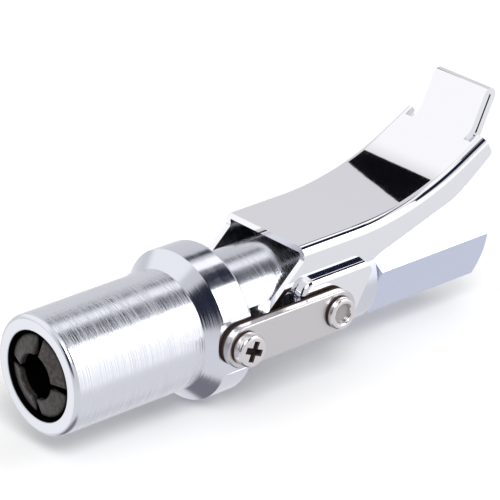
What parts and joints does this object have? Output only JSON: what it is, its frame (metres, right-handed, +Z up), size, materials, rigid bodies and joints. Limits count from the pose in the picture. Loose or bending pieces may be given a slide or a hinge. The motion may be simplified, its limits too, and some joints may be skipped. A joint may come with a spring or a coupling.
{
  "type": "locking grease coupler",
  "caption": "Locking grease-gun coupler with a chromed lever on two links, sliding sleeve, gripping jaws and a hexagonal rear connector.",
  "frame": {"origin": "centre of the inlet thread's mouth, on the rear face of the hexagonal connector", "axes": "+X along the body out of the inlet thread, away from the nozzle; +Z up, with the lever on top; +Y to complete a right-handed frame"},
  "size_m": [0.0924, 0.0308, 0.0387],
  "materials": {
    "sleeve_steel": "zinc plated, fine turning lines",
    "collar_steel": "zinc plated, smooth",
    "hex_steel": "zinc plated, fine grain",
    "barrel_steel": "bright plated",
    "lever_chrome": "polished",
    "link_steel": "satin",
    "fastener_chrome": "bright",
    "jaw_black": "blackened steel, satin",
    "inner_steel": "plain",
    "spring_steel": "plain",
    "seal_rubber": "matt"
  },
  "bodies": {
    "body": {"barrel": "barrel_steel", "hex_connector": "hex_steel", "connector_o_ring": "seal_rubber", "jaw_carrier": "inner_steel", "jaw_spreader_ring": "spring_steel", "sleeve_spring": "spring_steel", "seal_spring": "spring_steel", "check_seat": "inner_steel", "check_spring": "spring_steel", "pivot_stud_near": "fastener_chrome", "pivot_stud_far": "fastener_chrome"},
    "sleeve": {"locking_sleeve": "sleeve_steel", "link_collar": "collar_steel", "spring_washer": "inner_steel", "link_screw_near": "fastener_chrome", "link_screw_far": "fastener_chrome"},
    "lever": {"lever": "lever_chrome", "rivet_near": "fastener_chrome", "rivet_far": "fastener_chrome"},
    "link_near": {"link_near": "link_steel"},
    "link_far": {"link_far": "link_steel"},
    "jaw_1": {"jaw_1": "jaw_black"},
    "jaw_2": {"jaw_2": "jaw_black"},
    "jaw_3": {"jaw_3": "jaw_black"},
    "jaw_4": {"jaw_4": "jaw_black"},
    "piston": {"seal_piston": "inner_steel", "piston_o_ring": "seal_rubber", "nozzle_seal": "seal_rubber"},
    "ball": {"check_ball": "inner_steel"}
  },
  "joints": [
    {"name": "lever_lift", "type": "hinge", "parent": "body", "child": "lever", "pos_m": [-0.046, 0, -0.0028], "axis": [0, -1, 0], "range_deg": [0, 30], "stiffness_Nm_per_rad": 0.11, "springref_deg": -68.75},
    {"name": "sleeve_slide", "type": "slide", "parent": "body", "child": "sleeve", "axis": [-1, 0, 0], "range_m": [0, 0.00214], "deforming": ["sleeve_spring"]},
    {"name": "link_swing_near", "type": "hinge", "parent": "sleeve", "child": "link_near", "pos_m": [-0.0578, 0, 0], "axis": [0, -1, 0], "range_deg": [0, 10.56]},
    {"name": "link_swing_far", "type": "hinge", "parent": "sleeve", "child": "link_far", "pos_m": [-0.0578, 0, 0], "axis": [0, -1, 0], "range_deg": [0, 10.56]},
    {"name": "jaw_1_slide", "type": "slide", "parent": "body", "child": "jaw_1", "axis": [0, -0.6561, -0.7547], "range_m": [0, 0.00072]},
    {"name": "jaw_2_slide", "type": "slide", "parent": "body", "child": "jaw_2", "axis": [0, 0.7547, -0.6561], "range_m": [0, 0.00072]},
    {"name": "jaw_3_slide", "type": "slide", "parent": "body", "child": "jaw_3", "axis": [0, 0.6561, 0.7547], "range_m": [0, 0.00072]},
    {"name": "jaw_4_slide", "type": "slide", "parent": "body", "child": "jaw_4", "axis": [0, -0.7547, 0.6561], "range_m": [0, 0.00072]},
    {"name": "seal_slide", "type": "slide", "parent": "body", "child": "piston", "axis": [1, 0, 0], "range_m": [0, 0.001], "stiffness_N_per_m": 400, "springref_m": -0.002, "deforming": ["seal_spring"]},
    {"name": "check_lift", "type": "slide", "parent": "body", "child": "ball", "axis": [-1, 0, 0], "range_m": [0, 0.0008], "stiffness_N_per_m": 60, "springref_m": -0.002, "deforming": ["check_spring"]}
  ],
  "couplings": [
    {"joint": "sleeve_slide", "follows": "lever_lift", "m_per_rad": 0.004081},
    {"joint": "link_swing_near", "follows": "lever_lift", "ratio": 0.35167},
    {"joint": "link_swing_far", "follows": "lever_lift", "ratio": 0.35167},
    {"joint": "jaw_1_slide", "follows": "lever_lift", "m_per_rad": 0.001375},
    {"joint": "jaw_2_slide", "follows": "lever_lift", "m_per_rad": 0.001375},
    {"joint": "jaw_3_slide", "follows": "lever_lift", "m_per_rad": 0.001375},
    {"joint": "jaw_4_slide", "follows": "lever_lift", "m_per_rad": 0.001375}
  ]
}
